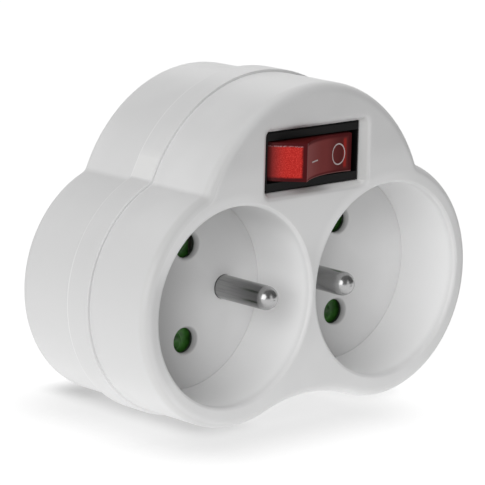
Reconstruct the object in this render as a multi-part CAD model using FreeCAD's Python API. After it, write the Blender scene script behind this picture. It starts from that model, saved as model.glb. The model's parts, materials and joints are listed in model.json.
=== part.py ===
import FreeCAD, Part
import math
import os

Vector = FreeCAD.Vector

# All sizes are in millimetres. While the pieces are made, the front face is at y = 0,
# depth grows along +Y and the two wells are centred on z = 0. The pieces are placed last.

# Cloud outline: a round lobe round each well and one wide lobe above them
lobe_r = 24.0
lobe_inset = 0.75
crown_r = 30.7
crown_drop = 16.1
waist_r = 33.2
crease_r = 1.6

# Depths and walls of the two shells
front_depth = 16.0
band_width = 6.2
band_proud = 0.6
band_flat = 4.5
band_round = 0.25
rear_inset = 0.5
body_depth = 37.7
front_round = 2.0
rear_round = 2.0
wall = 2.2
face_wall = 2.6
rear_wall = 2.2

# Tongue of the front shell, inside the rim of the rear shell
tongue_depth = 2.0
tongue_wall = 1.0
lap_gap = 0.1

# Wells
well_web = 1.8
well_depth = 14.8
well_rim = 4.45
well_draft = 0.35
well_lip = 0.8
cup_wall = 2.5

# Socket plate at the bottom of a well
plate_thick = 1.6
plate_inner = 1.2
plate_step = 0.8
plate_flange = 1.6
plate_split = 0.3
seam_gap = 0.05
hole_pitch = 19.0
hole_r = 2.5
hole_soft = 0.7
lead_in = 0.9
chamber_depth = 3.0
chamber_wall = 1.2
chamber_inset = 3.2
stud_r = 2.0

# Pins of the wells and of the plug
pin_r = 2.4
pin_offset = 10.0
earth_pin_reach = 14.6
earth_collar_r = 3.4
earth_collar = 1.0
shank_r = 2.0
rivet_r = 1.6
rivet_head_r = 2.8
rivet_head = 0.8
pin_gap = 0.05
pin_relief = 0.2
pin_relief_from = 0.2

# Shutters
shutter_gap = 0.7
shutter_thick = 1.6
shutter_hub_r = 4.2
shutter_rim = 2.8
shutter_cover = 3.4
shutter_short_edge = 2.07
shutter_run = 0.06
dish_r = 1.75
dish_depth = 0.8
dish_x = -1.1
dish_z = -0.3
spring_wire_r = 0.25
spring_gap = 0.12

# Carrier behind each plate, with a chimney round each contact
carrier_thick = 2.0
chimney_x = 5.2
chimney_z = 4.0
chimney_wall = 1.0
chimney_gap = 0.8

# Brass strips
strip_thick = 0.8
strip_half = 2.0
feed_clear = 1.3
feed_gap = 1.0
pad_x = 4.6
pad_z = 3.4
leaf_thick = 0.6
leaf_half_width = 2.5
leaf_throat = 2.3
leaf_root = 3.2
leaf_clear = 1.4
bar_width = 4.0
bar_pillar_gap = 1.0
neutral_leg_half = 3.1
feed_half = 3.1
live_leg_x = 13.0
earth_bar_gap = 1.2
earth_leg_z = 15.0
earth_leg_half = 3.0

# Plug on the rear
plug_r = 18.5
plug_reach = 15.0
plug_round = 1.0
plug_wall = 2.0
plug_end = 2.8
plug_pitch = 19.0
plug_pin_reach = 19.0
plug_hole_r = 2.6
sleeve_wall = 1.7
sleeve_depth = 8.0
earth_sleeve_depth = 4.0
clip_depth = 6.5
clip_gap = 0.4

# Screws through the rear shell, and the peg below them
screw_inset = 5.3
screw_angle = 36.2
screw_r = 1.45
screw_head_r = 2.75
screw_head = 2.0
screw_length = 14.0
screw_seat = 8.0
screw_hole_r = 1.7
head_hole_r = 3.1
pillar_r = 4.3
boss_r = 3.2
boss_reach = 1.4
boss_gap = 0.1
pilot_gap = 0.02
peg_inset = 5.3
peg_r = 1.6
peg_reach = 4.5
peg_gap = 0.1
post_r = 2.2
post_offset = 12.0

# Rocker switch
recess_land = 0.443
frame_x = 12.5
frame_z = 5.9
recess = 1.5
recess_slope_x = 1.5
recess_slope_z = 1.1
recess_round = 1.4
recess_steps = 4
recess_corner = 1.9
frame_corner = 0.2
frame_gap = 0.1
frame_round = 0.35
flange_x = 14.2
flange_z = 6.5
flange_thick = 1.6
flange_gap = 0.15
case_x = 13.7
case_z = 5.7
case_depth = 18.8
case_floor = 1.6
mouth_x = 12.1
mouth_z = 4.15
mouth_depth = 1.5
bay_x = 12.7
bay_z = 4.2

# Rocker, drawn level about its pivot and then tilted
pivot_depth = 7.6
pivot_r = 1.2
pivot_run = 0.05
pivot_end_gap = 0.1
rocker_tilt = 13.3
ridge_x = 7.92
ridge_rise = 9.0
rocker_dish = 1.7
rocker_x = 11.6
rocker_half = 3.8
rocker_wall = 1.2
shoulder_rise = 3.1
rocker_round = 0.15
guide_r = 2.3
plunger_r = 1.35
plunger_run = 0.04
plunger_root = 0.8
plunger_spring_gap = 0.12

# Lamp under the rocker
lamp_r = 1.6
lamp_length = 6.6
lamp_rise = 3.6
lamp_gap = 0.3
resistor_r = 1.1
resistor_length = 5.4
lead_r = 0.25

# Lever that the plunger tips over
lever_thick = 0.8
lever_x = 9.0
lever_half = 1.7
lever_clearance = 0.4
lever_tilt = 7.0
lever_pin_r = 0.5
lever_knuckle_r = 1.1
lever_drop = 0.55
ear_thick = 0.6
ear_gap = 0.15
button_r = 1.2
button_thick = 0.6
button_x = 7.0
contact_gap = 0.2
blade_x = 8.0
blade_half = 2.4
blade_reach = 6.6
tab_gap = 2.4
foot_half = 2.0
foot_rim = 1.0

# Places worked out from the sizes above
well_mouth_r = lobe_r - well_rim
well_floor_r = well_mouth_r - well_draft
well_x = well_mouth_r + well_web / 2
lobe_x = well_x - lobe_inset
chamber_r = well_floor_r - chamber_inset
shutter_r = chamber_r - shutter_rim
cup_end = well_depth + plate_step
plate_back = well_depth + plate_thick
inner_back = well_depth + plate_inner
carrier_front = plate_back + chamber_depth
carrier_back = carrier_front + carrier_thick
plug_back = body_depth + plug_reach
total_depth = plug_back + plug_pin_reach
rear_inside = body_depth - rear_wall
feed_back = rear_inside - feed_clear
feed_depth = feed_back - strip_thick
bar_depth = feed_depth - feed_gap - strip_thick
earth_bar_depth = carrier_back + earth_bar_gap
chimney_depth = bar_depth - chimney_gap - carrier_back
leaf_reach = bar_depth - leaf_clear - carrier_back
pillar_front = front_depth + boss_reach + boss_gap
head_seat = pillar_front + screw_seat
# The lower corners of the switch recess keep a land beside the lips of the wells
wide_x = frame_x + frame_gap + recess_slope_x
wide_z = frame_z + frame_gap + recess_slope_z
switch_z = wide_z + math.sqrt((well_mouth_r + well_lip + recess_land) ** 2 - (well_x - wide_x) ** 2)
crown_z = switch_z - crown_drop
screw_x = (crown_r - screw_inset) * math.cos(math.radians(screw_angle))
screw_z = crown_z + (crown_r - screw_inset) * math.sin(math.radians(screw_angle))
screw_spots = ((-screw_x, screw_z), (screw_x, screw_z))
peg_z = waist_r - math.sqrt((lobe_r + waist_r) ** 2 - lobe_x ** 2) + peg_inset
bar_outer_z = -peg_z - pillar_r - bar_pillar_gap
bar_inner_z = bar_outer_z - bar_width
boss_spots = screw_spots + ((0, peg_z),)
half_pitch = hole_pitch / 2
case_inside = case_depth - case_floor
lever_swing = math.radians(lever_tilt)
# At full travel the button stops just short of the pad on the case's floor
button_fall = (button_x + button_r) * math.sin(lever_swing) + (button_thick - lever_drop) * math.cos(lever_swing)
lever_axis = case_inside - ear_thick - contact_gap - button_fall
lever_face = lever_axis - lever_drop - lever_thick
plunger_reach = lever_face - lever_clearance - pivot_depth
plunger_length = plunger_reach - plunger_root


# Basic forms

def box(x0, x1, y0, y1, z0, z1):
    return Part.makeBox(x1 - x0, y1 - y0, z1 - z0, Vector(x0, y0, z0))


def rod(r, y0, y1, x=0, z=0):
    return Part.makeCylinder(r, y1 - y0, Vector(x, y0, z), Vector(0, 1, 0))


def cone(r0, r1, y0, y1, x=0, z=0):
    return Part.makeCone(r0, r1, y1 - y0, Vector(x, y0, z), Vector(0, 1, 0))


def fuse(shapes):
    result = shapes[0]
    for shape in shapes[1:]:
        result = result.fuse(shape)
    return result.removeSplitter()


def mirrored(shape):
    return shape.mirror(Vector(0, 0, 0), Vector(1, 0, 0))


def arc(a, b, c):
    return Part.Arc(a, b, c).toShape()


def flat_profile(points, y0, y1):
    # A closed outline in x and z, pushed from y0 to y1
    corners = [Vector(x, y0, z) for x, z in points]
    face = Part.Face(Part.makePolygon(corners + corners[:1]))
    return face.extrude(Vector(0, y1 - y0, 0))


def side_profile(points, z0, z1):
    # A closed outline in x and y, pushed from z0 to z1
    corners = [Vector(x, y, z0) for x, y in points]
    face = Part.Face(Part.makePolygon(corners + corners[:1]))
    return face.extrude(Vector(0, 0, z1 - z0))


def export(shape, name, place):
    shape = shape.copy()
    shape.translate(place)
    shape.exportStep("parts/" + name + ".step")
    print(name, len(shape.Solids), round(shape.Volume, 1), shape.isValid())


# The cloud outline at one depth, grown outwards by an offset

def toward(start, end, distance):
    step = end - start
    return start + step * (distance / step.Length)


def flipped(point):
    return Vector(-point.x, point.y, point.z)


def outline(grow, y, corner_flat=0):
    side = lobe_r + grow
    crown = crown_r + grow
    waist = waist_r - grow
    crease = crease_r - grow
    lobe_centre = Vector(lobe_x, y, 0)
    crown_centre = Vector(0, y, crown_z)
    waist_centre = Vector(0, y, -math.sqrt((lobe_r + waist_r) ** 2 - lobe_x ** 2))
    # The crease touches both lobes, so its centre is known from three sides
    a = lobe_r + crease_r
    b = crown_r + crease_r
    c = math.hypot(lobe_x, crown_z)
    along = (a * a - b * b + c * c) / (2 * c)
    across = math.sqrt(a * a - along * along)
    crease_centre = Vector(lobe_x - (lobe_x * along - crown_z * across) / c, y,
                           (crown_z * along + lobe_x * across) / c)
    foot = toward(lobe_centre, waist_centre, side)
    low = toward(lobe_centre, crease_centre, side)
    high = toward(crown_centre, crease_centre, crown)
    shoulder = high
    if corner_flat:
        angle = math.atan2(high.z - crown_z, high.x) + corner_flat / crown
        shoulder = crown_centre + Vector(crown * math.cos(angle), 0, crown * math.sin(angle))
    inner = toward(crease_centre, (low + high) * 0.5, crease)
    right = [arc(foot, lobe_centre + Vector(side, 0, 0), low), arc(low, inner, high)]
    left = [arc(flipped(high), flipped(inner), flipped(low)),
            arc(flipped(low), Vector(-lobe_x - side, y, 0), flipped(foot))]
    if corner_flat:
        right.append(Part.makeLine(high, shoulder))
        left.insert(0, Part.makeLine(flipped(shoulder), flipped(high)))
    top = arc(shoulder, crown_centre + Vector(0, 0, crown), flipped(shoulder))
    bottom = arc(flipped(foot), waist_centre + Vector(0, 0, waist), foot)
    return Part.Wire([bottom] + right + [top] + left)


def slab(grow, y0, y1, corner_flat=0):
    face = Part.Face(outline(grow, y0, corner_flat))
    return face.extrude(Vector(0, y1 - y0, 0))


def edges_at(shape, y):
    return [e for e in shape.Edges if abs(e.BoundBox.YMin - y) < 1e-6 and abs(e.BoundBox.YMax - y) < 1e-6]


# Front shell: drafted wells with round lips, a bevelled recess for the switch, and a tongue

def rounded_front():
    block = slab(0, 0, front_depth)
    return block.makeFillet(front_round, edges_at(block, 0))


def well_hollow(side):
    taper = cone(well_mouth_r, well_floor_r, 0, well_depth, side * well_x)
    return taper.fuse(rod(well_floor_r, well_depth, cup_end + 1, side * well_x))


def lip_edges(shell):
    chosen = []
    for edge in edges_at(shell, 0):
        curve = edge.Curve
        if hasattr(curve, "Radius") and abs(curve.Radius - well_mouth_r) < 1e-6:
            chosen.append(edge)
    return chosen


def rectangle(x, z, y, corner):
    # A rectangle with round corners, about the middle of the switch
    bend = corner * (1 - math.sqrt(0.5))
    turns = []
    for side, level in ((1, 1), (-1, 1), (-1, -1), (1, -1)):
        upright = Vector(side * x, y, switch_z + level * (z - corner))
        middle = Vector(side * (x - bend), y, switch_z + level * (z - bend))
        lying = Vector(side * (x - corner), y, switch_z + level * z)
        turns.append((upright, middle, lying) if side == level else (lying, middle, upright))
    edges = []
    for i in range(4):
        edges.append(arc(*turns[i]))
        edges.append(Part.makeLine(turns[i][2], turns[(i + 1) % 4][0]))
    return Part.Wire(edges)


def rounded_over(slope, share):
    # How far the rounded outer edge of the recess reaches sideways and down, at a share of its turn
    full = math.atan2(recess, slope)
    start = recess_round * math.tan(full / 2)
    angle = full * share
    return start - recess_round * math.sin(angle), recess_round * (1 - math.cos(angle))


def switch_opening():
    x = frame_x + frame_gap
    z = frame_z + frame_gap
    rings = []
    for step in range(recess_steps + 1):
        share = step / recess_steps
        side, depth = rounded_over(recess_slope_x, share)
        up = rounded_over(recess_slope_z, share)[0]
        rings.append(rectangle(wide_x + side, wide_z + up, depth, recess_corner - 0.5 * depth))
    rings.append(rectangle(x, z, recess, frame_corner))
    bevel = Part.makeLoft(rings, True, True)
    hole = box(-x, x, recess, face_wall + 1, switch_z - z, switch_z + z)
    pocket = box(-flange_x - flange_gap, flange_x + flange_gap, face_wall, front_depth + tongue_depth + 1,
                 switch_z - flange_z - flange_gap, switch_z + flange_z + flange_gap)
    return fuse([bevel, hole, pocket])


def front_shell():
    solid = rounded_front()
    rim = slab(tongue_wall - wall, front_depth - 1, front_depth + tongue_depth)
    hollow = slab(-wall, face_wall, front_depth + tongue_depth + 1)
    keep = [rod(well_floor_r + cup_wall, 0, cup_end, side * well_x) for side in (-1, 1)]
    keep += [rod(boss_r, 0, front_depth + boss_reach, x, z) for x, z in boss_spots]
    for piece in keep:
        hollow = hollow.cut(piece)
    shell = solid.fuse(rim).cut(hollow)
    for side in (-1, 1):
        shell = shell.cut(well_hollow(side))
    shell = shell.makeFillet(well_lip, lip_edges(shell))
    shell = shell.cut(switch_opening())
    for x, z in screw_spots:
        shell = shell.cut(rod(screw_r + pilot_gap, face_wall + 2, front_depth + boss_reach + 1, x, z))
    peg = rod(peg_r, front_depth, front_depth + boss_reach + peg_reach, 0, peg_z)
    return shell.fuse(peg).removeSplitter()


# Rear shell: proud rim band, body, plug boss, screw pillars and posts behind the carriers

def rear_body():
    block = slab(-rear_inset, front_depth, body_depth)
    return block.makeFillet(rear_round, edges_at(block, body_depth))


def plug_boss():
    boss = rod(plug_r, body_depth - rear_wall, plug_back)
    return boss.makeFillet(plug_round, edges_at(boss, plug_back))


def rear_shell():
    inset = rear_inset + wall
    band = slab(band_proud, front_depth, front_depth + band_width, band_flat)
    rims = edges_at(band, front_depth) + edges_at(band, front_depth + band_width)
    band = band.makeFillet(band_round, rims)
    hollow = slab(-inset, front_depth - 1, body_depth - rear_wall)
    lap = slab(tongue_wall - wall + lap_gap, front_depth - 1, front_depth + tongue_depth + 2 * lap_gap)
    plug_hollow = rod(plug_r - plug_wall, body_depth - rear_wall - 1, plug_back - plug_end)
    shell = fuse([band, rear_body(), plug_boss()]).cut(hollow).cut(lap).cut(plug_hollow)
    tongue_end = front_depth + tongue_depth + lap_gap
    inside = slab(-inset / 2, tongue_end, body_depth)
    inside = inside.fuse(slab(-wall - lap_gap, pillar_front, tongue_end))
    additions = []
    for x, z in boss_spots:
        additions.append(rod(pillar_r, pillar_front, body_depth - rear_wall / 2, x, z).common(inside))
    for side in (-1, 1):
        for offset in (0, post_offset):
            x = side * (well_x + offset)
            additions.append(rod(post_r, carrier_back, body_depth - rear_wall / 2, x))
        x = side * plug_pitch / 2
        additions.append(rod(pin_r + sleeve_wall, plug_back - plug_end - sleeve_depth, plug_back - plug_end, x))
    additions.append(rod(plug_hole_r + sleeve_wall, plug_back - plug_end - earth_sleeve_depth,
                         plug_back - plug_end, 0, pin_offset))
    shell = fuse([shell] + additions)
    for x, z in screw_spots:
        shell = shell.cut(rod(screw_hole_r, pillar_front - 1, body_depth, x, z))
        shell = shell.cut(rod(head_hole_r, head_seat, body_depth + 1, x, z))
    shell = shell.cut(rod(peg_r + peg_gap, pillar_front - 1, pillar_front + peg_reach + 1, 0, peg_z))
    for side in (-1, 1):
        shell = shell.cut(rod(pin_r + pin_gap, body_depth, plug_back + 1, side * plug_pitch / 2))
    shell = shell.cut(rod(plug_hole_r, body_depth, plug_back + 1, 0, pin_offset))
    mouth = cone(plug_hole_r, plug_hole_r + lead_in, plug_back - lead_in, plug_back, 0, pin_offset)
    return shell.cut(mouth).removeSplitter()


# Socket plate: stepped disc with round-mouthed live holes, and the shutter chamber behind

def socket_plate(side):
    x = side * well_x
    pin_x = side * (well_x - pin_offset)
    plate = rod(well_floor_r - seam_gap, well_depth, cup_end, x)
    flange = rod(well_floor_r + plate_flange, cup_end, plate_back, x)
    ring = rod(chamber_r + chamber_wall, plate_back, carrier_front, x)
    plate = fuse([plate, flange, ring]).cut(rod(chamber_r, inner_back, carrier_front + 1, x))
    plate = fuse([plate, rod(stud_r, inner_back, carrier_front, x)])
    for z in (-half_pitch, half_pitch):
        plate = plate.cut(rod(hole_r, well_depth - 1, plate_back + 1, x, z))
    mouths = [e for e in edges_at(plate, well_depth) if abs(e.Curve.Radius - hole_r) < 1e-6]
    plate = plate.makeFillet(hole_soft, mouths)
    plate = plate.cut(rod(pin_r + pin_gap, well_depth - 1, plate_back + 1, pin_x))
    plate = plate.cut(rod(earth_collar_r + pin_gap, inner_back, carrier_front + 1, pin_x))
    far = 3 * lobe_r
    other_half = box(0, far, 0, body_depth, -far, far)
    other_half.translate(Vector(-plate_split / 2, 0, 0))
    if side > 0:
        other_half = mirrored(other_half)
    return plate.cut(other_half)


# Carrier: disc on the chamber wall, with an open chimney round each contact

def contact_carrier(side):
    x = side * well_x
    disc = rod(chamber_r + chamber_wall, carrier_front, carrier_back, x)
    parts = [disc]
    for z in (-half_pitch, half_pitch):
        outer = box(x - chimney_x, x + chimney_x, carrier_back, carrier_back + chimney_depth,
                    z - chimney_z, z + chimney_z)
        inner_x = chimney_x - chimney_wall
        inner_z = chimney_z - chimney_wall
        inner = box(x - inner_x, x + inner_x, carrier_back, carrier_back + chimney_depth + 1,
                    z - inner_z, z + inner_z)
        parts.append(outer.cut(inner))
    carrier = fuse(parts)
    for z in (-half_pitch, half_pitch):
        carrier = carrier.cut(rod(hole_r, carrier_front - 1, carrier_back + 1, x, z))
    return carrier.cut(rod(shank_r + pin_gap, carrier_front - 1, carrier_back + 1, side * (well_x - pin_offset)))


# Round pins, turned about their own axis

def turned(points, x=0, z=0, dome=None):
    # Points are radius and depth, in order, with the first and last on the axis
    line = [Vector(r, y, 0) for r, y in points]
    edges = []
    for i in range(len(line) - 1):
        if dome and i == 0:
            edges.append(arc(line[0], Vector(dome[0], dome[1], 0), line[1]))
        else:
            edges.append(Part.makeLine(line[i], line[i + 1]))
    edges.append(Part.makeLine(line[-1], line[0]))
    solid = Part.Face(Part.Wire(edges)).revolve(Vector(0, 0, 0), Vector(0, 1, 0), 360)
    solid.translate(Vector(x, 0, z))
    return solid


def earth_pin(side):
    tip = well_depth - earth_pin_reach
    bar_back = earth_bar_depth + strip_thick
    diagonal = pin_r * math.sqrt(0.5)
    relief = well_depth - pin_relief_from
    neck = pin_r - pin_relief
    points = [(0, tip), (pin_r, tip + pin_r), (pin_r, relief), (neck, relief), (neck, inner_back),
              (earth_collar_r, inner_back),
              (earth_collar_r, inner_back + earth_collar), (shank_r, inner_back + earth_collar),
              (shank_r, earth_bar_depth), (rivet_r, earth_bar_depth), (rivet_r, bar_back),
              (rivet_head_r, bar_back), (rivet_head_r, bar_back + rivet_head), (0, bar_back + rivet_head)]
    return turned(points, side * (well_x - pin_offset), 0, (diagonal, tip + pin_r - diagonal))


def plug_pin(side, rivet_depth):
    collar = plug_back - plug_end - sleeve_depth
    tip_round = 0.6 * pin_r
    relief = plug_back + pin_relief_from
    neck = pin_r - pin_relief
    points = [(0, rivet_depth), (rivet_head_r, rivet_depth), (rivet_head_r, rivet_depth + rivet_head),
              (rivet_r, rivet_depth + rivet_head), (rivet_r, feed_back), (shank_r, feed_back),
              (shank_r, collar - 1), (earth_collar_r, collar - 1), (earth_collar_r, collar), (neck, collar),
              (neck, relief), (pin_r, relief),
              (pin_r, total_depth - tip_round), (pin_r - tip_round, total_depth), (0, total_depth)]
    pin = turned(points, side * plug_pitch / 2)
    ends = edges_at(pin, total_depth - tip_round) + edges_at(pin, total_depth)
    return pin.makeFillet(tip_round / 3, ends)


# Shutter: a hub with a lobe over each live hole, each with a dished ramp

def shutter_lobe(up, right_edge):
    edge_angle = math.asin(shutter_cover / half_pitch)
    reach = shutter_r * math.cos(edge_angle)
    root = shutter_hub_r * math.cos(edge_angle) * 0.5
    left = [(-root * math.tan(edge_angle), root), (-reach * math.tan(edge_angle), reach)]
    if right_edge < shutter_cover:
        right = [(right_edge, reach), (right_edge, root)]
    else:
        right = [(reach * math.tan(edge_angle), reach), (root * math.tan(edge_angle), root)]
    depth = inner_back + shutter_gap
    points = [(x, z) for x, z in left] + [(0, shutter_r + 1)] + right
    lobe = flat_profile(points, depth, depth + shutter_thick)
    lobe = lobe.common(rod(shutter_r, depth, depth + shutter_thick))
    ball_r = (dish_r ** 2 + dish_depth ** 2) / (2 * dish_depth)
    if not up:
        lobe = lobe.rotate(Vector(0, 0, 0), Vector(0, 1, 0), 180)
    hole_z = half_pitch if up else -half_pitch
    centre = Vector(dish_x, depth + dish_depth - ball_r, hole_z + dish_z)
    return lobe.cut(Part.makeSphere(ball_r, centre))


def shutter(side):
    short = side < 0
    depth = inner_back + shutter_gap
    hub = rod(shutter_hub_r, depth, depth + shutter_thick)
    upper = shutter_lobe(True, shutter_short_edge if short else shutter_cover)
    body = fuse([hub, upper, shutter_lobe(False, shutter_cover)])
    body = body.cut(rod(stud_r + shutter_run, depth - 1, depth + shutter_thick + 1))
    body.translate(Vector(side * well_x, 0, 0))
    return body


def shutter_spring(side):
    # One open turn round the stud, with two short arms
    depth = inner_back + shutter_gap + shutter_thick + spring_gap + spring_wire_r
    radius = stud_r + 4 * spring_wire_r
    start = math.radians(35)
    arm = 5 * spring_wire_r
    first, middle, last = [Vector(radius * math.cos(a), depth, radius * math.sin(a))
                           for a in (start, math.pi, -start)]
    head = first + Vector(math.sin(start), 0, -math.cos(start)) * arm
    tail = last + Vector(math.sin(start), 0, math.cos(start)) * arm
    path = Part.Wire([Part.makeLine(head, first), arc(first, middle, last), Part.makeLine(last, tail)])
    section = Part.Wire(Part.makeCircle(spring_wire_r, head, first - head))
    coil = path.makePipeShell([section], True, False)
    coil.translate(Vector(side * well_x, 0, 0))
    return coil


# Contact leaves that close on a plug pin

def leaf_pair(x, z, y_root, reach, half_width, direction=-1):
    tip = y_root + direction * reach
    throat = y_root + direction * reach * 0.72
    knee = y_root + direction * reach * 0.3
    inner = [(leaf_root, y_root), (leaf_root - 0.1, knee), (leaf_throat, throat), (leaf_root, tip)]
    outer = [(r + leaf_thick, y) for r, y in reversed(inner)]
    leaf = side_profile(inner + outer, z - half_width, z + half_width)
    other = mirrored(leaf)
    for piece in (leaf, other):
        piece.translate(Vector(x, 0, 0))
    return [leaf, other]


def contact_bar(level):
    # Two pads with leaves, joined by a strip on the side towards the wells' centre line
    back = bar_depth + strip_thick
    parts = []
    holes = []
    for side in (-1, 1):
        x = side * well_x
        z = level * half_pitch
        parts.append(box(x - pad_x, x + pad_x, bar_depth, back, z - pad_z, z + pad_z))
        parts += leaf_pair(x, z, bar_depth, leaf_reach, leaf_half_width)
        holes.append(rod(hole_r, bar_depth - 1, back + 1, x, z))
    low, high = sorted((level * bar_inner_z, level * bar_outer_z))
    parts.append(box(-well_x, well_x, bar_depth, back, low, high))
    return parts, holes


def line_bar():
    parts, holes = contact_bar(1)
    back = bar_depth + strip_thick
    top = switch_z + strip_half
    inner = blade_x + strip_thick / 2
    parts.append(box(live_leg_x - strip_half, live_leg_x + strip_half, bar_depth, back, bar_inner_z, top))
    parts.append(box(inner, live_leg_x, bar_depth, back, switch_z - strip_half, top))
    parts.append(box(inner, inner + strip_thick, case_depth + tab_gap, back, switch_z - strip_half, top))
    bar = fuse(parts)
    for hole in holes:
        bar = bar.cut(hole)
    return bar


def neutral_bar():
    parts, holes = contact_bar(-1)
    x = -plug_pitch / 2
    back = bar_depth + strip_thick
    parts.append(box(x - neutral_leg_half, x + neutral_leg_half, bar_depth, back, -bar_inner_z, neutral_leg_half))
    holes.append(rod(rivet_r, bar_depth - 1, back + 1, x, 0))
    bar = fuse(parts)
    for hole in holes:
        bar = bar.cut(hole)
    return bar


def feed_strip(x_from, x_to, tab_side):
    # From a plug pin, up the rear of the housing and forward to a switch blade
    top = switch_z + strip_half
    face = x_to + tab_side * strip_thick / 2
    tab_low, tab_high = sorted((face, face + tab_side * strip_thick))
    low, high = sorted((x_from, face))
    parts = [box(x_from - feed_half, x_from + feed_half, feed_depth, feed_back, -feed_half, top),
             box(low, high, feed_depth, feed_back, switch_z - strip_half, top),
             box(tab_low, tab_high, case_depth + tab_gap, feed_back, switch_z - strip_half, top)]
    return fuse(parts).cut(rod(rivet_r, feed_depth - 1, feed_back + 1, x_from, 0))


def earth_bar():
    back = earth_bar_depth + strip_thick
    pin_x = well_x - pin_offset
    end_x = pin_x + rivet_head_r + 0.8
    clip_back = plug_back - plug_end - earth_sleeve_depth - clip_gap - clip_depth
    parts = [box(-end_x, end_x, earth_bar_depth, back, -strip_half - 1, strip_half + 1),
             box(-earth_leg_half, earth_leg_half, earth_bar_depth, back, 0, earth_leg_z + strip_thick),
             box(-earth_leg_half, earth_leg_half, earth_bar_depth, clip_back, earth_leg_z,
                 earth_leg_z + strip_thick)]
    bar = fuse(parts)
    for side in (-1, 1):
        bar = bar.cut(rod(rivet_r, earth_bar_depth - 1, back + 1, side * pin_x))
    return bar


def plug_earth_clip():
    front = plug_back - plug_end - earth_sleeve_depth - clip_gap
    root = front - clip_depth
    half = leaf_half_width
    base = box(-leaf_root - leaf_thick, leaf_root + leaf_thick, root - strip_thick, root,
               pin_offset - half, earth_leg_z)
    return fuse([base] + leaf_pair(0, pin_offset, root, clip_depth, half, 1))


# Switch

def switch_box(x, z, y0, y1):
    return box(-x, x, y0, y1, switch_z - z, switch_z + z)


def blade(x):
    return box(x - strip_thick / 2, x + strip_thick / 2, case_inside, case_depth + blade_reach,
               switch_z - blade_half, switch_z + blade_half)


def switch_body():
    neck = switch_box(frame_x, frame_z, recess, face_wall + 1)
    front_edges = edges_at(neck, recess)
    neck = neck.makeFillet(frame_round, front_edges)
    flange = switch_box(flange_x, flange_z, face_wall, face_wall + flange_thick)
    case = switch_box(case_x, case_z, face_wall, case_depth)
    body = fuse([neck, flange, case])
    body = body.cut(switch_box(mouth_x, mouth_z, recess - 1, recess + mouth_depth))
    body = body.cut(switch_box(bay_x, bay_z, recess + mouth_depth, case_inside))
    bore = Part.makeCylinder(pivot_r + pivot_run, 2 * case_z, Vector(0, pivot_depth, switch_z - case_z))
    body = body.cut(bore)
    for x in (-blade_x, 0, blade_x):
        body = body.cut(blade(x))
    return body


def tilted(shape):
    shape.rotate(Vector(0, pivot_depth, switch_z), Vector(0, 0, 1), rocker_tilt)
    return shape


def rocker_section(inset, z_half):
    # Dished top between two ridges, sloping ends, open underneath when it is the hollow
    top = pivot_depth - ridge_rise + inset
    ridge = ridge_x - inset * 0.6
    end = rocker_x - inset
    shoulder = pivot_depth - shoulder_rise
    z0 = switch_z - z_half
    skirt = pivot_depth - 0.6 + 3 * inset
    left = [Vector(-ridge, top, z0), Vector(-end, shoulder, z0), Vector(-end, skirt, z0)]
    right = [flipped(p) for p in left]
    dish = arc(left[0], Vector(0, top + rocker_dish, z0), right[0])
    line = left[::-1]
    edges = [Part.makeLine(line[0], line[1]), Part.makeLine(line[1], line[2]), dish]
    edges += [Part.makeLine(right[0], right[1]), Part.makeLine(right[1], right[2]),
              Part.makeLine(right[2], line[0])]
    return Part.Face(Part.Wire(edges)).extrude(Vector(0, 0, 2 * z_half))


def rocker():
    shell = rocker_section(0, rocker_half)
    sharp = [e for e in shell.Edges if e.BoundBox.YMax < pivot_depth - 1]
    shell = shell.makeFillet(rocker_round, sharp)
    shell = shell.cut(rocker_section(rocker_wall, rocker_half - rocker_wall))
    top = pivot_depth - ridge_rise + rocker_dish
    guide = rod(guide_r, top + rocker_wall / 2, pivot_depth + 1, 0, switch_z)
    axle = Part.makeCylinder(pivot_r, 2 * (case_z - pivot_end_gap),
                             Vector(0, pivot_depth, switch_z - case_z + pivot_end_gap))
    shell = fuse([shell, guide, axle])
    bore = rod(plunger_r + plunger_run, top + 2 * rocker_wall, pivot_depth + 2, 0, switch_z)
    return tilted(shell.cut(bore))


def rocker_plunger():
    tip = pivot_depth + plunger_reach
    root = tip - plunger_length
    body = rod(plunger_r, root, tip - plunger_r, 0, switch_z)
    ball = Part.makeSphere(plunger_r, Vector(0, tip - plunger_r, switch_z), Vector(0, 1, 0), 0, 90)
    return tilted(fuse([body, ball]))


def plunger_spring():
    top = pivot_depth - ridge_rise + rocker_dish + 2 * rocker_wall
    root = pivot_depth + plunger_reach - plunger_length
    length = root - top - 2 * plunger_spring_gap
    outer = rod(plunger_r - plunger_spring_gap, top + plunger_spring_gap, top + plunger_spring_gap + length,
                0, switch_z)
    inner = rod(plunger_r - plunger_spring_gap - 2 * spring_wire_r, top, root, 0, switch_z)
    return tilted(outer.cut(inner))


def capsule(r, x0, x1, rise):
    y = pivot_depth - rise
    tube = Part.makeCylinder(r, x1 - x0, Vector(x0, y, switch_z), Vector(1, 0, 0))
    return tube, y


def neon_lamp():
    x1 = -guide_r - lamp_gap
    x0 = x1 - lamp_length
    tube, y = capsule(lamp_r, x0, x1, lamp_rise)
    ends = [e for e in tube.Edges if hasattr(e.Curve, "Radius")]
    return tilted(tube.makeFillet(lamp_r * 0.6, ends))


def lamp_resistor():
    x0 = guide_r + lamp_gap
    x1 = x0 + resistor_length
    tube, y = capsule(resistor_r, x0, x1, lamp_rise)
    lead = Part.makeCylinder(lead_r, lamp_gap, Vector(x0 - lamp_gap, y, switch_z), Vector(1, 0, 0))
    ends = [e for e in tube.Edges if hasattr(e.Curve, "Radius")]
    return tilted(fuse([tube.makeFillet(resistor_r * 0.4, ends), lead]))


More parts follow.
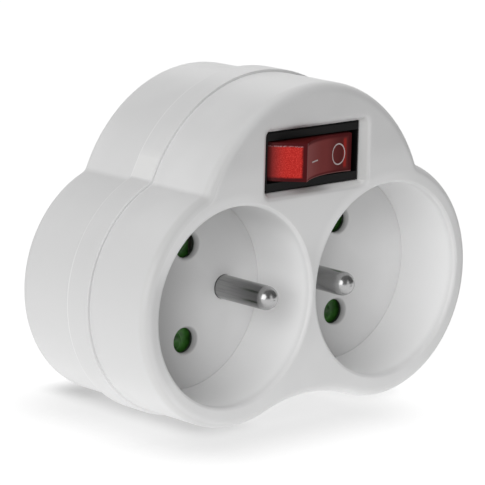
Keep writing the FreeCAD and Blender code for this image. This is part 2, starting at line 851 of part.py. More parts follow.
def switch_lever():
    strip = box(-lever_x, lever_x, lever_face, lever_face + lever_thick,
                switch_z - lever_half, switch_z + lever_half)
    knuckle = Part.makeCylinder(lever_knuckle_r, 2 * lever_half, Vector(0, lever_axis, switch_z - lever_half))
    button = rod(button_r, lever_face + lever_thick, lever_face + lever_thick + button_thick,
                 button_x, switch_z)
    lever = fuse([strip, knuckle, button])
    bore = Part.makeCylinder(lever_pin_r + pivot_run, 2 * case_z, Vector(0, lever_axis, switch_z - case_z))
    lever = lever.cut(bore)
    lever.rotate(Vector(0, lever_axis, switch_z), Vector(0, 0, 1), -lever_tilt)
    return lever


def terminal_in():
    inner = lever_half + ear_gap
    outer = inner + ear_thick
    parts = [blade(0)]
    parts.append(box(-foot_half, foot_half, case_inside - ear_thick, case_inside, switch_z - outer, switch_z + outer))
    for side in (-1, 1):
        z0, z1 = sorted((switch_z + side * inner, switch_z + side * outer))
        parts.append(box(-lever_knuckle_r, lever_knuckle_r, lever_axis - lever_knuckle_r, case_inside, z0, z1))
    parts.append(Part.makeCylinder(lever_pin_r, 2 * outer, Vector(0, lever_axis, switch_z - outer)))
    return fuse(parts)


def terminal_out():
    pad = box(button_x - button_r, blade_x + strip_thick / 2 + foot_rim, case_inside - ear_thick, case_inside,
              switch_z - blade_half, switch_z + blade_half)
    return fuse([blade(blade_x), pad])


def terminal_lamp():
    pad = box(-blade_x - strip_thick / 2 - foot_rim, -blade_x + foot_half, case_inside - ear_thick, case_inside,
              switch_z - blade_half, switch_z + blade_half)
    return fuse([blade(-blade_x), pad])


# Screws with a cross recess, as one group

def case_screw(x, z):
    tip = head_seat - screw_length
    head_back = head_seat + screw_head
    points = [(0, tip), (screw_r, tip + screw_r), (screw_r, head_seat), (screw_head_r, head_seat),
              (screw_head_r, head_back - 0.7), (screw_head_r - 0.7, head_back), (0, head_back)]
    screw = turned(points, x, z)
    slot_half = screw_head_r * 0.6
    for dx, dz in ((slot_half, 0.35), (0.35, slot_half)):
        screw = screw.cut(box(x - dx, x + dx, head_back - 1.1, head_back + 1, z - dz, z + dz))
    return screw


def case_screws():
    return Part.makeCompound([case_screw(x, z) for x, z in screw_spots])


def main():
    os.makedirs("parts", exist_ok=True)
    pieces = {
        "front_shell": front_shell(),
        "rear_shell": rear_shell(),
        "line_bar": line_bar(),
        "neutral_bar": neutral_bar(),
        "earth_bar": earth_bar(),
        "plug_pin_line": plug_pin(1, feed_depth - rivet_head),
        "plug_pin_neutral": plug_pin(-1, bar_depth - rivet_head),
        "plug_earth_clip": plug_earth_clip(),
        "line_feed_strip": feed_strip(plug_pitch / 2, 0, 1),
        "lamp_feed_strip": feed_strip(-plug_pitch / 2, -blade_x, -1),
        "switch_body": switch_body(),
        "rocker": rocker(),
        "rocker_plunger": rocker_plunger(),
        "plunger_spring": plunger_spring(),
        "neon_lamp": neon_lamp(),
        "lamp_resistor": lamp_resistor(),
        "switch_lever": switch_lever(),
        "terminal_in": terminal_in(),
        "terminal_out": terminal_out(),
        "terminal_lamp": terminal_lamp(),
        "case_screws": case_screws(),
    }
    for side, name in ((-1, "left"), (1, "right")):
        pieces["socket_plate_" + name] = socket_plate(side)
        pieces["contact_carrier_" + name] = contact_carrier(side)
        pieces["earth_pin_" + name] = earth_pin(side)
        pieces["shutter_" + name] = shutter(side)
        pieces["shutter_spring_" + name] = shutter_spring(side)
    # The rocker is the foremost piece: the origin is half way between it and the pin tips
    middle = (pieces["rocker"].BoundBox.YMin + total_depth) / 2
    place = Vector(0, -middle, lobe_r + band_proud)
    print("middle", middle)
    for name, shape in pieces.items():
        export(shape, name, place)


main()
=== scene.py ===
import json
import math

import bpy
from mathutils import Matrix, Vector


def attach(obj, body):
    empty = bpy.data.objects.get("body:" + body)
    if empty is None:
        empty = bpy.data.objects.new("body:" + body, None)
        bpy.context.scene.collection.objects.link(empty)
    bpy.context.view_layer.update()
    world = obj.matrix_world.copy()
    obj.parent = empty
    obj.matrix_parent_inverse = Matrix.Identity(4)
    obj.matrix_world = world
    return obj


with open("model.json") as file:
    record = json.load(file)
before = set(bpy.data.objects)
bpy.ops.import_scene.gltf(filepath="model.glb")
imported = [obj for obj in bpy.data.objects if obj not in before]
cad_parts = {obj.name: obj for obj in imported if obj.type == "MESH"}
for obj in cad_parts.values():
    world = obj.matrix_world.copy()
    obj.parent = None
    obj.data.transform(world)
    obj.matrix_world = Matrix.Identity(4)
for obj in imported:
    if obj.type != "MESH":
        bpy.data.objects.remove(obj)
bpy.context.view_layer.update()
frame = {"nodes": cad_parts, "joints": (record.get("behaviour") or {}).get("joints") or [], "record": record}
nodes = frame["nodes"]
mm = 0.001


def grey(level):
    return (level, level, level, 1)


def span(low, high):
    # Where a smooth step starts and ends, given in millimetres
    return low * mm, high * mm


# Shader sums: a wrapped socket takes part in ordinary Python expressions

class Signal:
    def __init__(self, board, socket):
        self.board = board
        self.socket = socket

    def sum(self, operation, first, second=0.0):
        made = self.board.node("ShaderNodeMath", {"operation": operation}, {0: first, 1: second})
        return Signal(self.board, made.outputs[0])

    def __add__(self, other):
        return self.sum("ADD", self, other)

    def __sub__(self, other):
        return self.sum("SUBTRACT", self, other)

    def __rsub__(self, other):
        return self.sum("SUBTRACT", other, self)

    def __mul__(self, other):
        return self.sum("MULTIPLY", self, other)

    __radd__ = __add__
    __rmul__ = __mul__

    def __neg__(self):
        return self * -1

    def most(self, other):
        return self.sum("MAXIMUM", self, other)

    def absolute(self):
        return self.sum("ABSOLUTE", self)

    def root(self):
        return self.sum("SQRT", self)

    def sign(self):
        return self.sum("SIGN", self)

    def above(self, low, high):
        # 0 below low, 1 above high and a smooth step between
        made = self.board.node("ShaderNodeMapRange", {"interpolation_type": "SMOOTHSTEP"},
                               {"Value": self, "From Min": low, "From Max": high})
        return Signal(self.board, made.outputs[0])

    def below(self, low, high):
        # 1 below low, 0 above high and a smooth step between
        return 1 - self.above(low, high)

    def between(self, rise, fall):
        # Steps up over the first span and down again over the second
        return self.above(*rise) * self.below(*fall)


class Board:
    def __init__(self, tree):
        self.tree = tree

    def put(self, made, socket, value):
        if isinstance(value, Signal):
            value = value.socket
        if isinstance(value, bpy.types.NodeSocket):
            self.tree.links.new(value, made.inputs[socket])
        else:
            made.inputs[socket].default_value = value

    def node(self, kind, settings=None, sockets=None):
        made = self.tree.nodes.new(kind)
        for name, value in (settings or {}).items():
            setattr(made, name, value)
        for name, value in (sockets or {}).items():
            self.put(made, name, value)
        return made


class Finish(Board):
    def __init__(self, name, values):
        self.material = bpy.data.materials.new(name)
        self.material.use_nodes = True
        super().__init__(self.material.node_tree)
        self.shader = self.tree.nodes["Principled BSDF"]
        for socket, value in values.items():
            self.put(self.shader, socket, value)

    def place(self):
        return self.node("ShaderNodeTexCoord").outputs["Object"]

    def axes(self, at):
        parts = self.node("ShaderNodeSeparateXYZ", {}, {0: at})
        return [Signal(self, out) for out in parts.outputs]

    def noise(self, at, scale, detail=2.0, roughness=0.5):
        made = self.node("ShaderNodeTexNoise", {},
                         {"Vector": at, "Scale": scale, "Detail": detail, "Roughness": roughness})
        return Signal(self, made.outputs[0])

    def mixed(self, share, first, second):
        made = self.node("ShaderNodeMix", {"data_type": "RGBA"}, {0: share, 6: first, 7: second})
        return made.outputs[2]

    def paint(self, colour):
        self.put(self.shader, "Base Color", colour)

    def tint(self, share, colour):
        # Lays a colour over what is painted so far, as strongly as the share says
        painted = self.shader.inputs["Base Color"].links[0].from_socket
        self.paint(self.mixed(share, painted, colour))

    def bump(self, height, distance):
        made = self.node("ShaderNodeBump", {}, {"Height": height, "Distance": distance})
        self.put(self.shader, "Normal", made.outputs[0])


# White plastic of the housing. Slight tints by place are painted soft light and shade.

pivot = next(joint for joint in frame["joints"] if joint["name"] == "rocker_tilt")["pos_m"]

housing = {
    "colour": grey(0.85),
    "cloud": grey(0.815),
    "cloudNoise": (60.0, 3.0),         # scale and detail
    "cloudStep": (0.35, 0.65),
    "roughness": 0.42,
    "ior": 1.5,
    "grain": 2600.0,
    "grainGloss": 0.10,                # how far the grain changes the roughness
    "grainHeight": 0.012 * mm,
    "wellX": 20.45 * mm,
    "wellZ": 24.6 * mm,
    "flank": 0.88,                     # painted shade: the left flank is dimmer, as a share of the colour
    "flankX": span(-43.0, -35.0),
    "flankZ": span(38.0, 48.0),
    "crown": grey(1.0),                # painted light: the top behind the switch is lighter
    "crownX": span(-16.0, -3.0),
    "crownY": span(-34.2, -32.5),
    "crownZ": span(60.0, 65.5),
}


def whitePlastic(name, shade=1.0):
    look = housing
    colour = [c * shade for c in look["colour"][:3]] + [1]
    cloud = [c * shade for c in look["cloud"][:3]] + [1]
    dim = [c * look["flank"] for c in colour[:3]] + [1]
    finish = Finish(name, {"Roughness": look["roughness"], "IOR": look["ior"]})
    at = finish.place()
    x, y, z = finish.axes(at)
    patches = finish.noise(at, *look["cloudNoise"]).above(*look["cloudStep"])
    crown = z.above(*look["crownZ"]) * x.above(*look["crownX"]) * y.above(*look["crownY"])
    finish.paint(finish.mixed(patches, colour, cloud))
    # painted light on the top behind the switch, then painted shade on the left flank
    finish.tint(crown, look["crown"])
    finish.tint(x.below(*look["flankX"]) * z.below(*look["flankZ"]), dim)
    grain = finish.noise(at, look["grain"])
    gloss = look["grainGloss"]
    finish.put(finish.shader, "Roughness", grain * gloss + (look["roughness"] - gloss / 2))
    finish.bump(grain, look["grainHeight"])
    return finish


bandLook = {
    "back": -12.46 * mm,               # back edge of the rim band, with a painted highlight as a thin pale line along it
    "line": grey(1.0),
    "lineWide": span(0.102, 0.17),
    "lineShare": 0.5,
    "flat": (0.885, 0.885, 0.88, 1),   # painted light: a paler facet of the band by the crease
    "flatY": (span(-18.2, -18.1), span(-12.46, -12.36)),
    "flatZ": (span(47.69, 47.79), span(51.2, 53.6)),
    "step": grey(0.72),                # painted shade: a darker step at the band's front edge, near the crown
    "stepY": span(-18.36, -18.30),
    "stepZ": span(58.0, 63.0),
}


def bandPlastic():
    look = bandLook
    finish = whitePlastic("band white")
    x, y, z = finish.axes(finish.place())
    line = (y - look["back"]).absolute().below(*look["lineWide"])
    # painted light on the band's facet by the crease
    finish.tint(y.between(*look["flatY"]) * z.between(*look["flatZ"]), look["flat"])
    # painted shade in the step at the band's front edge
    finish.tint(y.below(*look["stepY"]) * z.above(*look["stepZ"]), look["step"])
    # painted highlight along the band's back edge
    finish.tint(line * look["lineShare"], look["line"])
    return finish.material


frontLook = {
    "brow": grey(0.92),                # painted shade on the front face round the switch, which lies at y -34.38 mm
    "browY": span(-34.36, -34.28),
    "browZ": (span(30.0, 38.0), span(48.0, 54.0)),
    "round": (0.66, 0.66, 0.655, 1),   # painted shade on the outer round between the front face and the left flank
    "roundX": span(-30.0, -16.0),
    "roundY": (span(-34.33, -33.88), span(-33.2, -32.2)),
    "roundShare": 0.6,
    "sunk": span(-34.36, -33.88),      # bevel of the switch recess, with heights from the pivot
    # painted shade on the right side of the bevel
    "right": (0.70, 0.70, 0.695, 1),
    "rightX": (span(12.5, 12.6), span(14.1, 14.6)),
    "rightRise": span(7.1, 7.9),
    # painted light on the lower bevel, right of the middle
    "low": (1.0, 1.0, 0.995, 1),
    "lowX": (span(2.0, 8.0), span(12.6, 14.1)),
    "lowRise": (span(-7.6, -7.1), span(-6.0, -5.9)),
    "lowShade": (0.52, 0.52, 0.515, 1),
    "lowShadeX": (span(-8.0, -2.0), span(0.5, 5.0)),
    "lowShadeShare": 0.8,
    "lips": grey(1.0),                 # painted light on the upper left part of the wells' lips
    "lipsR": (span(19.1, 19.4), span(20.6, 22.5)),
    "lipsAcross": span(0.0, 9.0),
    "lipsUp": span(4.0, 15.0),
    "walls": grey(0.985),              # painted light on the walls of the wells
    "wallsR": span(19.9, 20.4),
    "wallsY": span(-34.2, -32.0),
    "wallTop": grey(0.73),             # upper wall of the left well, in shade
    "wallTopX": span(-8.0, 0.0),
    "wallTopUp": span(7.0, 17.0),
}


def fromWell(x, z):
    # How far right of the nearer well's middle, and how far above it
    return x - x.sign() * housing["wellX"], z - housing["wellZ"]


def frontPlastic():
    look = frontLook
    finish = whitePlastic("housing white")
    x, y, z = finish.axes(finish.place())
    across, up = fromWell(x, z)
    away = (across * across + up * up).root()
    rise = z - pivot[2]
    sunk = y.above(*look["sunk"])
    rightBevel = x.between(*look["rightX"]) * rise.absolute().below(*look["rightRise"]) * sunk
    lowBevel = rise.between(*look["lowRise"]) * sunk
    lips = away.between(*look["lipsR"]) * across.below(*look["lipsAcross"]) * up.above(*look["lipsUp"])
    walls = away.below(*look["wallsR"]) * y.above(*look["wallsY"])
    wallTop = up.above(*look["wallTopUp"]) * x.below(*look["wallTopX"])
    # painted shade on the front face round the switch
    finish.tint(y.below(*look["browY"]) * z.between(*look["browZ"]), look["brow"])
    # painted shade on the outer round to the left flank
    finish.tint(y.between(*look["roundY"]) * x.below(*look["roundX"]) * look["roundShare"], look["round"])
    # painted shade on the right side of the bevel
    finish.tint(rightBevel, look["right"])
    # painted light on the lower bevel, right of the middle
    finish.tint(lowBevel * x.between(*look["lowX"]), look["low"])
    finish.tint(lowBevel * x.between(*look["lowShadeX"]) * look["lowShadeShare"], look["lowShade"])
    # painted light on the wells' lips
    finish.tint(lips, look["lips"])
    # painted light on the walls of the wells, with painted shade on the upper wall
    finish.tint(walls, finish.mixed(wallTop, look["walls"], look["wallTop"]))
    return finish.material


plateLook = {
    "lift": 1.10,                      # painted light in the wells: the plate is lighter, as a share of the housing's colour
    "shade": grey(0.44),               # deeper shade to the left and the top of each plate
    "shadeAcross": span(-14.0, 9.0),
    "shadeUp": span(0.0, 14.0),
    "middle": span(-1.0, 1.0),
    "leftShare": 0.95,
    "rightShare": 0.62,
    "topShare": 0.38,
    "holeUp": 9.5 * mm,
    "beside": grey(0.50),              # soft shade right of each live hole
    "besideShift": 0.55 * mm,
    "besideR": span(2.45, 3.05),
    "hole": grey(0.05),                # painted shade on the walls of the live holes
    "holeR": span(2.62, 2.67),
    "holeY": span(-18.98, -18.88),
}


def platePlastic():
    look = plateLook
    # painted light: the plate is lighter than the housing
    finish = whitePlastic("plate white", look["lift"])
    x, y, z = finish.axes(finish.place())
    across, up = fromWell(x, z)
    fromHole = up.absolute() - look["holeUp"]
    away = (across * across + fromHole * fromHole).root()
    shifted = across - look["besideShift"]
    beside = (shifted * shifted + fromHole * fromHole).root()
    share = x.below(*look["middle"]) * (look["leftShare"] - look["rightShare"]) + look["rightShare"]
    left = across.below(*look["shadeAcross"]) * share
    finish.tint(left.most(up.above(*look["shadeUp"]) * look["topShare"]), look["shade"])
    finish.tint(beside.below(*look["besideR"]), look["beside"])
    # painted shade on the walls of the live holes
    finish.tint(away.below(*look["holeR"]) * y.above(*look["holeY"]), look["hole"])
    return finish.material


# Shutters, switch and rocker

shutterLook = {
    "colour": (0.055, 0.215, 0.030, 1),
    "dark": (0.026, 0.105, 0.015, 1),
    "patches": 420.0,
    "patchStep": (0.40, 0.60),
    "roughness": 0.34,
}


def greenPlastic():
    look = shutterLook
    finish = Finish("shutter green", {"Roughness": look["roughness"]})
    patches = finish.noise(finish.place(), look["patches"]).above(*look["patchStep"])
    finish.paint(finish.mixed(patches, look["colour"], look["dark"]))
    return finish.material


switchLook = {
    "colour": grey(0.009),
    "roughness": 0.45,
    "specular": 0.12,
    "grain": 3000.0,
    "grainHeight": 0.01 * mm,
}


def blackPlastic():
    look = switchLook
    finish = Finish("switch black", {"Base Color": look["colour"], "Roughness": look["roughness"],
                                     "Specular IOR Level": look["specular"]})
    finish.bump(finish.noise(finish.place(), look["grain"]), look["grainHeight"])
    return finish.material


# u runs along the rocker, v is its depth and w its height, all from the pivot and turned with it
rockerLook = {
    "tilt": math.radians(13.3),        # left end raised, as in the photograph
    "roughness": 0.26,
    "glow": 0.10,
    # top of the rocker, with a painted sheen near the ridge, darker towards the far end
    "topNear": (0.36, 0.115, 0.113, 1),
    "topMiddle": (0.27, 0.062, 0.060, 1),
    "topMiddleU": span(-7.0, 1.0),
    "topFar": (0.13, 0.028, 0.028, 1),
    "topFarU": span(0.5, 6.0),
    "stripe": (0.50, 0.035, 0.028, 1),
    "stripeU": (span(5.9, 6.3), span(6.5, 7.0)),
    "stripeSide": span(2.5, 3.2),
    "stripeShare": 0.65,
    "rim": (0.085, 0.012, 0.014, 1),   # dark rims of the top, each with its share
    "rimSide": span(3.1, 3.4),
    "rimSideShare": 0.6,
    "rimU": span(6.9, 7.4),
    "rimUShare": 0.8,
    "rimTop": span(2.9, 3.5),
    "rimTopShare": 0.75,
    "edge": (0.36, 0.20, 0.19, 1),     # painted highlights: thin pale edges at the foot and along the ridge
    "footW": span(3.58, 3.70),
    "footV": span(-5.0, -4.0),
    "ridgeU": span(7.62, 7.74),
    "edgeShare": 0.6,
    "endU": span(7.82, 8.02),          # end wall at the left, with a lit window in it
    "end": (0.42, 0.016, 0.013, 1),
    "rise": 9.0 * mm,
    "windowIn": span(0.80, 1.30),
    "windowSide": span(2.95, 3.45),
    "windowV": span(-5.0, -0.8),
    "fuzz": 0.35 * mm,
    "fuzzNoise": (1500.0, 2.0, 0.6),   # scale, detail and roughness
    "speck": (0.72, 0.066, 0.055, 1),
    "speckNoise": (5200.0, 3.0, 0.7),
    "speckStep": (0.40, 0.72),
    # painted shade on the deeper part of the end wall, in the recess, with its shares on the window and the
    # rim
    "recessShade": (0.20, 0.075, 0.075, 1),
    "recessShadeV": span(-6.0, -0.5),
    "panelShadeShare": 0.6,
    "rimShadeShare": 0.5,
    "spark": (0.42, 0.25, 0.26, 1),    # painted glints: fine dots along the window's upper edge
    "sparkNoise": (3800.0, 1.0),
    "sparkStep": (0.44, 0.60),
    "sparkW": (span(2.90, 3.00), span(3.10, 3.25)),
    "lit": (0.11, 0.014, 0.014, 1),    # painted light on the upper flank
    "litW": span(3.70, 3.78),
    "litU": span(-3.0, 3.0),
}


def redPlastic():
    look = rockerLook
    finish = Finish("rocker red", {"Roughness": look["roughness"], "Specular IOR Level": 0.0,
                                   "Emission Strength": look["glow"]})
    at = finish.place()
    level = finish.node("ShaderNodeMapping", {"vector_type": "TEXTURE"},
                        {"Vector": at, "Location": pivot, "Rotation": (0, 0, look["tilt"])})
    u, v, w = finish.axes(level.outputs[0])
    side = w.absolute()
    speck = finish.noise(at, *look["speckNoise"]).above(*look["speckStep"])
    dots = finish.noise(at, *look["sparkNoise"]).above(*look["sparkStep"])
    fuzz = finish.noise(at, *look["fuzzNoise"]) * look["fuzz"]

    endWall = (-u).above(*look["endU"])
    inner = (v + look["rise"] + fuzz).above(*look["windowIn"])
    window = inner * (side + fuzz).below(*look["windowSide"]) * v.below(*look["windowV"])
    # painted shade deeper in the recess
    deep = v.above(*look["recessShadeV"])
    panel = finish.mixed(speck, look["end"], look["speck"])
    panel = finish.mixed(deep * look["panelShadeShare"], panel, look["recessShade"])
    end = finish.mixed(window, finish.mixed(deep * look["rimShadeShare"], look["rim"], look["recessShade"]), panel)
    # painted glints along the window's upper edge
    end = finish.mixed(w.between(*look["sparkW"]) * inner * dots, end, look["spark"])

    stripe = u.between(*look["stripeU"]) * side.below(*look["stripeSide"])
    rim = side.above(*look["rimSide"]) * look["rimSideShare"]
    rim = rim.most(u.above(*look["rimU"]) * look["rimUShare"])
    rim = rim.most(w.above(*look["rimTop"]) * look["rimTopShare"])
    # painted highlights at the foot and along the ridge
    foot = (-w).above(*look["footW"]) * v.below(*look["footV"])
    edge = foot.most((-u).above(*look["ridgeU"]))
    # painted sheen near the ridge, darker towards the far end
    top = finish.mixed(u.above(*look["topMiddleU"]), look["topNear"], look["topMiddle"])
    top = finish.mixed(u.above(*look["topFarU"]), top, look["topFar"])
    top = finish.mixed(stripe * look["stripeShare"], top, look["stripe"])
    top = finish.mixed(rim, top, look["rim"])
    top = finish.mixed(edge * look["edgeShare"], top, look["edge"])

    finish.paint(finish.mixed(endWall, top, end))
    # painted light on the upper flank
    finish.tint(w.above(*look["litW"]) * u.below(*look["litU"]), look["lit"])
    finish.put(finish.shader, "Emission Color", finish.mixed(endWall * window, grey(0.0), look["speck"]))
    return finish.material


# Metals, and the plain finishes of the pieces inside

metals = {
    "brass": {"name": "rolled brass", "colour": (0.72, 0.52, 0.24, 1), "roughness": 0.28, "scratch": 0.12},
    "spring_steel": {"name": "spring wire", "colour": grey(0.50), "roughness": 0.25, "scratch": 0.0},
    "screw_steel": {"name": "zinc plated screw", "colour": (0.55, 0.55, 0.53, 1), "roughness": 0.30,
                    "scratch": 0.10},
}
scratchNoise = (900.0, 4.0, 0.6)


def metal(name, colour, roughness, scratch):
    finish = Finish(name, {"Base Color": colour, "Metallic": 1.0, "Roughness": roughness})
    if scratch:
        grain = finish.noise(finish.place(), *scratchNoise)
        finish.put(finish.shader, "Roughness", grain * scratch + (roughness - scratch / 2))
    return finish.material


pinLook = {
    "dome": grey(0.46),                # polished dome at the tip
    "domeY": span(-31.81, -31.75),
    "domeRoughness": 0.25,
    "domeMetal": 0.78,
    "shankY": span(-31.78, -19.6),     # drawn shank, with painted shade that makes it darker towards its tip and on the left pin
    "shankRoughness": 0.23,
    "middle": span(-1.0, 1.0),
    "tipLeft": grey(0.27),
    "tipRight": grey(0.43),
    "endLeft": grey(0.42),
    "endRight": grey(0.56),
    "streakStretch": (1.0, 0.04, 1.0),
    "streakNoise": (2200.0, 3.0, 0.6),
    "streakStep": (0.35, 0.70),
    "streakShare": 0.6,
}


def pinMetal():
    look = pinLook
    finish = Finish("pin metal", {})
    at = finish.place()
    x, y, z = finish.axes(at)
    along = finish.node("ShaderNodeMapping", {}, {"Vector": at, "Scale": look["streakStretch"]})
    streak = finish.noise(along.outputs[0], *look["streakNoise"]).above(*look["streakStep"])
    dome = y.below(*look["domeY"])
    left = x.below(*look["middle"])
    # painted shade: darker at the tip and on the left pin
    tip = finish.mixed(left, look["tipRight"], look["tipLeft"])
    end = finish.mixed(left, look["endRight"], look["endLeft"])
    finish.paint(finish.mixed(y.above(*look["shankY"]), tip, end))
    finish.tint(streak * look["streakShare"], tip)
    finish.tint(dome, look["dome"])
    shank = look["shankRoughness"]
    finish.put(finish.shader, "Roughness", dome * (look["domeRoughness"] - shank) + shank)
    finish.put(finish.shader, "Metallic", 1 - dome * (1 - look["domeMetal"]))
    return finish.material


plains = {
    "carrier": {"name": "carrier off-white", "colour": (0.68, 0.66, 0.58, 1), "roughness": 0.5},
    "plunger_white": {"name": "plunger white", "colour": (0.70, 0.68, 0.62, 1), "roughness": 0.45},
    "resistor_body": {"name": "resistor lacquer", "colour": (0.42, 0.28, 0.14, 1), "roughness": 0.35},
}


def plain(name, colour, roughness):
    return Finish(name, {"Base Color": colour, "Roughness": roughness}).material


glassLook = {"Base Color": (0.9, 0.5, 0.35, 1), "Roughness": 0.05, "Transmission Weight": 0.8, "IOR": 1.5}

finishes = {
    "white_housing": frontPlastic(),
    "well_plate": platePlastic(),
    "shutter_green": greenPlastic(),
    "switch_black": blackPlastic(),
    "rocker_red": redPlastic(),
    "pin_metal": pinMetal(),
    "lamp_glass": Finish("lamp glass", glassLook).material,
}
finishes.update({slot: metal(**look) for slot, look in metals.items()})
finishes.update({slot: plain(**look) for slot, look in plains.items()})

for part in frame["record"]["subparts"]:
    node = nodes[part["node"]]
    node.data.materials.clear()
    node.data.materials.append(finishes[part["material_slot"]])
nodes["rear_shell"].data.materials[0] = bandPlastic()
print("materials set on", len(nodes), "nodes")


# Switch marks, printed on the dished top of the rocker

marks = {
    "tilt": rockerLook["tilt"],
    "start": -8.5 * mm,                # where a mark starts, just in front of the top
    "ringX": 4.80 * mm,
    "ringZ": -0.15 * mm,
    "ringR": 2.16 * mm,
    "ringNarrow": 0.78,
    "ringSteps": 64,
    "dashX": -3.15 * mm,
    "dashZ": -0.52 * mm,
    "dashLength": 2.7 * mm,
    "dashCuts": 6,
    "stroke": 0.26 * mm,
    "lift": 0.02 * mm,
    "colour": (0.60, 0.50, 0.50, 1),
    "roughness": 0.4,
}


def cleared():
    if bpy.context.object and bpy.context.object.mode != "OBJECT":
        bpy.ops.object.mode_set(mode="OBJECT")
    bpy.ops.object.select_all(action="DESELECT")


def finished(piece, name, material, body):
    piece.name = name
    bpy.ops.object.transform_apply(location=True, rotation=True, scale=True)
    piece.data.materials.clear()
    piece.data.materials.append(material)
    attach(piece, body)


def inked(piece):
    # Lays the flat mark onto the rocker's dished top, a hair above it
    wrap = piece.modifiers.new("wrap", "SHRINKWRAP")
    wrap.target = nodes["rocker"]
    wrap.wrap_method = "PROJECT"
    wrap.use_project_x = False
    wrap.use_project_y = False
    wrap.use_project_z = True
    wrap.use_negative_direction = True
    wrap.use_positive_direction = True
    wrap.offset = marks["lift"]
    bpy.ops.object.modifier_apply(modifier="wrap")


def markStart(x, z):
    # A point just in front of the dished top, turned with the rocker
    reach = marks["start"]
    c = math.cos(marks["tilt"])
    s = math.sin(marks["tilt"])
    return (pivot[0] + x * c - reach * s, pivot[1] + x * s + reach * c, pivot[2] + z)


def ringMark():
    cleared()
    bpy.ops.mesh.primitive_circle_add(vertices=marks["ringSteps"], radius=marks["ringR"], fill_type="NGON",
                                      location=markStart(marks["ringX"], marks["ringZ"]),
                                      rotation=(math.pi / 2, 0, marks["tilt"]))
    piece = bpy.context.object
    bpy.ops.object.mode_set(mode="EDIT")
    bpy.ops.mesh.inset(thickness=marks["stroke"])
    bpy.ops.mesh.delete(type="FACE")
    bpy.ops.object.mode_set(mode="OBJECT")
    piece.scale = (marks["ringNarrow"], 1, 1)
    inked(piece)
    return piece


def dashMark():
    cleared()
    bpy.ops.mesh.primitive_plane_add(size=1, location=markStart(marks["dashX"], marks["dashZ"]),
                                     rotation=(math.pi / 2, 0, marks["tilt"]))
    piece = bpy.context.object
    piece.scale = (marks["dashLength"], marks["stroke"], 1)
    bpy.ops.object.mode_set(mode="EDIT")
    bpy.ops.mesh.subdivide(number_cuts=marks["dashCuts"])
    bpy.ops.object.mode_set(mode="OBJECT")
    inked(piece)
    return piece


markPaint = plain("mark paint", marks["colour"], marks["roughness"])
finished(ringMark(), "off_mark", markPaint, "rocker")
finished(dashMark(), "on_mark", markPaint, "rocker")
print("marks printed on the rocker")


# Floor, cloths and sky, in metres

middle = Vector((0, 0, 0.033))
stage = {
    "floorSize": 12.0,
    "floorRoughness": 0.9,
    "floorSpecular": 0.1,
    "floor": grey(0.35),
    "bounce": grey(0.66),              # light that the floor near the object gives back
    "bounceFade": (0.06, 0.18),
    # what the camera sees of the floor: a glow, lowered into painted shadow near the object and along the
    # feet
    "seenFloor": grey(0.32),
    "seenGlowNear": grey(0.58),
    "seenGlowFar": grey(0.86),
    "seenGlowFeet": grey(0.36),
    "shadeAt": (-0.011, -0.020),       # painted shadow, a dark patch under the object: middle, half sizes and fade
    "shadeHalf": (0.017, 0.014),
    "shadeFade": (0.002, 0.026),
    "feetX": 0.022,                    # painted contact shadow, the darkest floor, along both lines where the lobes touch it
    "feetY": -0.010,
    "feetLong": 0.017,
    "feetFade": (0.002, 0.0105),
    "feetEnds": (0.0, 0.0105),
    "feetMiddle": (-0.005, 0.005),
    "feetRight": 0.4,                  # how much of it stays at the right foot
    "skyLight": 0.36,
    "clothRoughness": 0.9,
}

# Dark cloths round the studio: one also keeps soft light off, the others are only for reflections
cloths = {
    "right cloth": {"at": (0.95, -0.75, 0.45), "size": 1.5, "shades": True, "colour": grey(0.03)},
    "room behind the camera": {"at": (-1.2, -1.4, 0.9), "size": 3.2, "shades": False, "colour": grey(0.03)},
    "room ceiling": {"at": (-0.1, -0.1, 1.8), "size": 4.4, "shades": False, "colour": grey(0.16)},
}


def aimed(thing, at, target):
    thing.location = at
    thing.rotation_euler = (Vector(target) - Vector(at)).to_track_quat("-Z", "Y").to_euler()


def seenDirectly(board):
    # 1 for what the camera sees, or sees in metal or through glass
    path = board.node("ShaderNodeLightPath").outputs
    seen = Signal(board, path["Is Camera Ray"])
    return seen.most(Signal(board, path["Is Glossy Ray"])).most(Signal(board, path["Is Transmission Ray"]))


def shadowFloor():
    look = stage
    cleared()
    bpy.ops.mesh.primitive_plane_add(size=look["floorSize"], location=(0, 0, 0))
    floor = bpy.context.object
    floor.name = "pale_floor"
    finish = Finish("pale floor", {"Roughness": look["floorRoughness"],
                                   "Specular IOR Level": look["floorSpecular"], "Emission Strength": 1.0})
    seen = seenDirectly(finish)
    finish.paint(finish.mixed(seen, look["floor"], look["seenFloor"]))
    x, y, z = finish.axes(finish.place())
    away = (x * x + y * y).root()
    bounce = finish.mixed(away.below(*look["bounceFade"]), grey(0.0), look["bounce"])
    past, beyond = (((axis - at).absolute() - half).most(0.0) for axis, at, half in
                    zip((x, y), look["shadeAt"], look["shadeHalf"]))
    # painted shadow under the object
    patch = (past * past + beyond * beyond).root().below(*look["shadeFade"])
    glow = finish.mixed(patch, look["seenGlowFar"], look["seenGlowNear"])
    # painted contact shadow along the feet, weaker at the right foot
    feet = (x.absolute() - look["feetX"]).absolute().below(*look["feetFade"])
    ends = ((y - look["feetY"]).absolute() - look["feetLong"]).below(*look["feetEnds"])
    strength = x.below(*look["feetMiddle"]) * (1 - look["feetRight"]) + look["feetRight"]
    glow = finish.mixed(feet * ends * strength, glow, look["seenGlowFeet"])
    finish.put(finish.shader, "Emission Color", finish.mixed(seen, bounce, glow))
    floor.data.materials.append(finish.material)


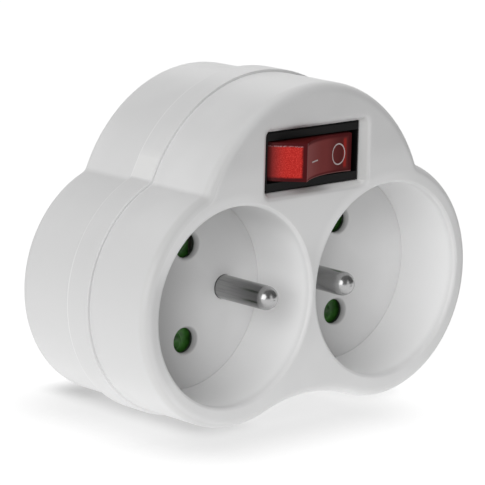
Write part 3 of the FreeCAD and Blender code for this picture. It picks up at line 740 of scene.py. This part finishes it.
def darkCloth(name, values):
    cleared()
    bpy.ops.mesh.primitive_plane_add(size=values["size"])
    cloth = bpy.context.object
    cloth.name = name
    aimed(cloth, values["at"], middle)
    cloth.data.materials.append(plain(name, values["colour"], stage["clothRoughness"]))
    cloth.visible_camera = False
    cloth.visible_shadow = False
    cloth.visible_diffuse = values["shades"]


def whiteSky():
    world = bpy.data.worlds.new("white studio")
    bpy.context.scene.world = world
    world.use_nodes = True
    board = Board(world.node_tree)
    strength = board.node("ShaderNodeMapRange", {}, {"Value": seenDirectly(board),
                                                     "To Min": stage["skyLight"], "To Max": 1.0})
    back = board.tree.nodes["Background"]
    board.put(back, "Color", grey(1.0))
    board.put(back, "Strength", strength.outputs[0])


shadowFloor()
for clothName, values in cloths.items():
    darkCloth(clothName, values)
whiteSky()


# Lamps: a soft box at the left front and a weaker one above at the right

lamps = {
    "key box": {"at": (-0.98, -0.40, 0.38), "size": 1.0, "power": 6.7, "mirrored": True},
    "top box": {"at": (0.78, -0.13, 0.82), "size": 0.8, "power": 2.8, "mirrored": False},
}

for lampName, values in lamps.items():
    lampData = bpy.data.lights.new(lampName, "AREA")
    lampData.shape = "DISK"
    lampData.size = values["size"]
    lampData.energy = values["power"]
    lamp = bpy.data.objects.new(lampName, lampData)
    bpy.context.scene.collection.objects.link(lamp)
    aimed(lamp, values["at"], middle)
    lamp.visible_glossy = values["mirrored"]
print("stage and lamps set")


# Camera, as in the photograph

camera = {
    "at": (-0.40215, -0.44356, 0.15616),
    "turn": (78.003, -1.372, -42.766),
    "sensor": 36,
    "lens": 223.48,
    "shift": 0.00282,
}

cameraData = bpy.data.cameras.new("camera")
cameraData.sensor_width = camera["sensor"]
cameraData.lens = camera["lens"]
cameraData.shift_x = camera["shift"]
cameraObject = bpy.data.objects.new("camera", cameraData)
bpy.context.scene.collection.objects.link(cameraObject)
cameraObject.location = camera["at"]
cameraObject.rotation_euler = [math.radians(angle) for angle in camera["turn"]]
bpy.context.scene.camera = cameraObject
bpy.context.scene.view_settings.view_transform = "Standard"
print("camera set")
